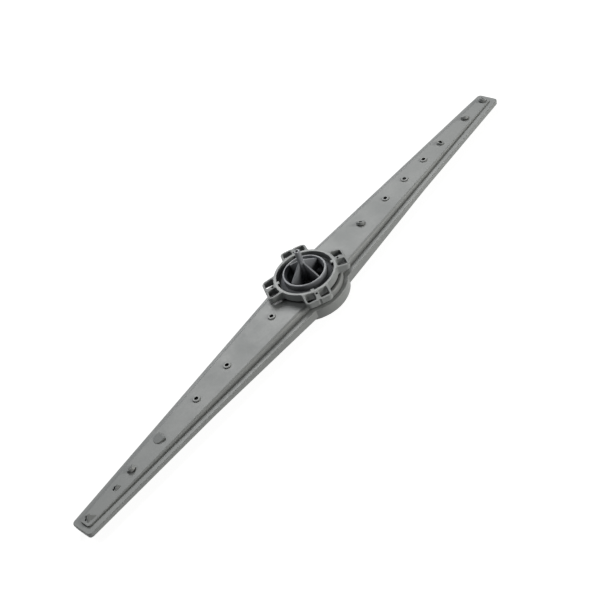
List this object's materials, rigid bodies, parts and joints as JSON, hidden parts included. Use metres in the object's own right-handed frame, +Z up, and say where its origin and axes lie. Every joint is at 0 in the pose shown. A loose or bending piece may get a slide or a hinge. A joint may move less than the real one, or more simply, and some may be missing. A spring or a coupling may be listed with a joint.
{
  "type": "dishwasher spray arm",
  "caption": "Grey plastic dishwasher spray arm: a long tapered hollow blade with raised jets, a ribbed round hub in its middle and a lugged lock ring that turns on the hub.",
  "frame": {"origin": "On the hub axis, at the flat underside that the arm lies on.", "axes": "+X runs along the blades towards the end with the rounded jets, +Y across the arm, +Z up the hub axis on the jets' side."},
  "size_m": [0.46, 0.0606, 0.0418],
  "materials": {
    "grey_shell": "fine satin moulded grey",
    "grey_hub": "satin moulded blue-grey",
    "grey_ring": "satin moulded grey"
  },
  "bodies": {
    "arm": {"upper_shell": "grey_shell", "lower_shell": "grey_shell", "bearing_hub": "grey_hub"},
    "ring": {"lock_ring": "grey_ring"}
  },
  "joints": [
    {"name": "ring_turn", "type": "hinge", "parent": "arm", "child": "ring", "pos_m": [0, 0, 0.0177], "axis": [0, 0, 1], "continuous": true}
  ]
}
